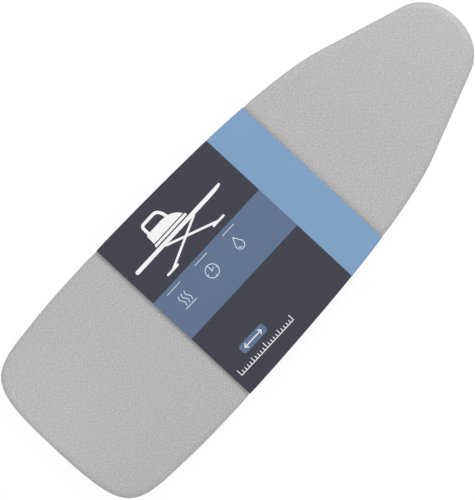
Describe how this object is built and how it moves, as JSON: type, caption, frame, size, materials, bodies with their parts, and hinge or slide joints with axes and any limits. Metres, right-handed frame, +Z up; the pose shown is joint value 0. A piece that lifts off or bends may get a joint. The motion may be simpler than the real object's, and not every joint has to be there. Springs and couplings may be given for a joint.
{
  "type": "ironing board cover",
  "caption": "Padded silver cloth cover shaped for an ironing board, with an elastic hem and straps underneath, in a printed card sleeve that slides off over the nose.",
  "frame": {"origin": "on the surface that the sleeve lies on, under the middle of the cover's length and width", "axes": "+X from the tail towards the nose, +Y to the left, +Z up out of the silver side"},
  "size_m": [1.25, 0.4476, 0.0382],
  "materials": {
    "silver_cloth": "silver-coated cotton, fine plain weave with a dull metallic sheen",
    "foam": "open-cell foam, cream",
    "felt": "needled felt, off-white",
    "binding": "woven bias binding, grey",
    "elastic": "flat braided elastic, white",
    "webbing": "ribbed elastic webbing, charcoal",
    "hook_tape": "hook tape, black",
    "loop_tape": "loop tape, black pile",
    "printed_card": "coated card, satin print in slate, steel blue and light blue",
    "glue": "set hot-melt glue"
  },
  "bodies": {
    "cover": {"cover_cloth": "silver_cloth", "foam_pad": "foam", "felt_pad": "felt", "hem_binding": "binding", "hem_elastic": "elastic", "tail_strap_1_sewn_end": "webbing", "tail_strap_1_loop_tape": "loop_tape", "tail_strap_2_sewn_end": "webbing", "tail_strap_2_loop_tape": "loop_tape", "nose_strap_1_sewn_end": "webbing", "nose_strap_1_loop_tape": "loop_tape", "nose_strap_2_sewn_end": "webbing", "nose_strap_2_loop_tape": "loop_tape"},
    "sleeve": {"sleeve_card": "printed_card", "sleeve_glue": "glue"},
    "tail_strap_1": {"tail_strap_1_webbing": "webbing", "tail_strap_1_hook_tape": "hook_tape"},
    "tail_strap_2": {"tail_strap_2_webbing": "webbing", "tail_strap_2_hook_tape": "hook_tape"},
    "nose_strap_1": {"nose_strap_1_webbing": "webbing", "nose_strap_1_hook_tape": "hook_tape"},
    "nose_strap_2": {"nose_strap_2_webbing": "webbing", "nose_strap_2_hook_tape": "hook_tape"}
  },
  "joints": [
    {"name": "sleeve_slide", "type": "slide", "parent": "cover", "child": "sleeve", "axis": [1, 0, 0], "range_m": [0, 0.9]},
    {"name": "tail_strap_1_swing", "type": "hinge", "parent": "cover", "child": "tail_strap_1", "pos_m": [-0.52, 0.17705, 0.003], "axis": [1, 0, 0], "range_deg": [0, 160]},
    {"name": "tail_strap_2_swing", "type": "hinge", "parent": "cover", "child": "tail_strap_2", "pos_m": [-0.345, 0.18771, 0.003], "axis": [1, 0, 0], "range_deg": [0, 160]},
    {"name": "nose_strap_1_swing", "type": "hinge", "parent": "cover", "child": "nose_strap_1", "pos_m": [0.2375, 0.15778, 0.003], "axis": [1, 0, 0], "range_deg": [0, 160]},
    {"name": "nose_strap_2_swing", "type": "hinge", "parent": "cover", "child": "nose_strap_2", "pos_m": [0.385, 0.12227, 0.003], "axis": [1, 0, 0], "range_deg": [0, 160]}
  ]
}
